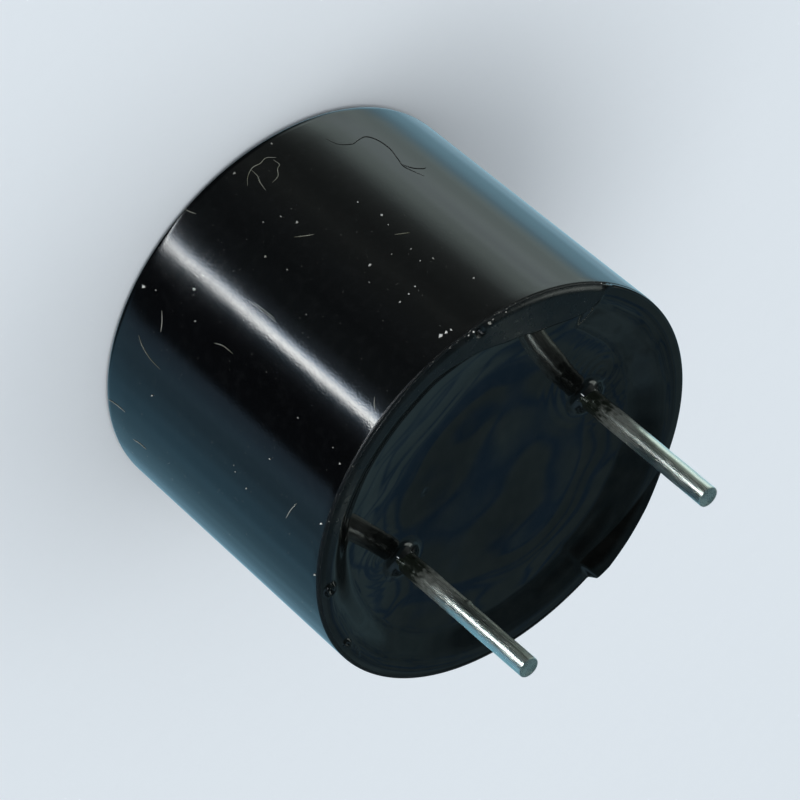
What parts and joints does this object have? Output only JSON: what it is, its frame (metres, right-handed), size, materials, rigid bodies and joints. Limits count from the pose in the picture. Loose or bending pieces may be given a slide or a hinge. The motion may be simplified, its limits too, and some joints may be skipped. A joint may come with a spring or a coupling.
{
  "type": "magnetic buzzer",
  "caption": "Round magnetic buzzer: a glossy black drafted cup with a sound hole in its head, closed behind by black potting resin with straight wire pins.",
  "frame": {"origin": "middle of the sound-hole face, which the part stands on", "axes": "+Z from the sound-hole face towards the pins, +X along the row of pins towards the negative pin"},
  "size_m": [0.0122, 0.0122, 0.0141],
  "materials": {
    "cup_plastic": "moulded black plastic, polished on the sides",
    "resin": "black potting resin, wet-looking",
    "spring_steel": "thin rolled sheet",
    "soft_iron": "nickel flashed",
    "magnet": "sintered ferrite, matte",
    "spacer_plastic": "natural moulded plastic",
    "bobbin_plastic": "natural moulded plastic",
    "enamelled_copper": "enamelled copper wire",
    "insulating_paper": "pressed insulating paper",
    "board_laminate": "bare paper and resin laminate",
    "package_plastic": "moulded package",
    "component_leads": "tinned",
    "component_ceramic": "fired ceramic",
    "diode_plastic": "moulded package with tinned ends",
    "tinned_wire": "drawn wire, hot tinned",
    "solder": "solidified solder"
  },
  "bodies": {
    "root": {"housing": "cup_plastic", "potting_resin": "resin", "diaphragm": "spring_steel", "diaphragm_armature": "soft_iron", "support_ring": "spacer_plastic", "ring_magnet": "magnet", "yoke_plate": "soft_iron", "pole_core": "soft_iron", "coil_bobbin": "bobbin_plastic", "coil_winding": "enamelled_copper", "coil_lead_start": "enamelled_copper", "coil_lead_finish": "enamelled_copper", "insulating_washer": "insulating_paper", "circuit_board": "board_laminate", "drive_transistor": "package_plastic", "transistor_legs": "component_leads", "bias_resistor": "component_ceramic", "flyback_diode": "diode_plastic", "pin_solder_positive": "solder", "pin_solder_negative": "solder", "lead_solder_start": "solder", "lead_solder_finish": "solder", "pin_positive": "tinned_wire", "pin_negative": "tinned_wire"}
  },
  "joints": []
}
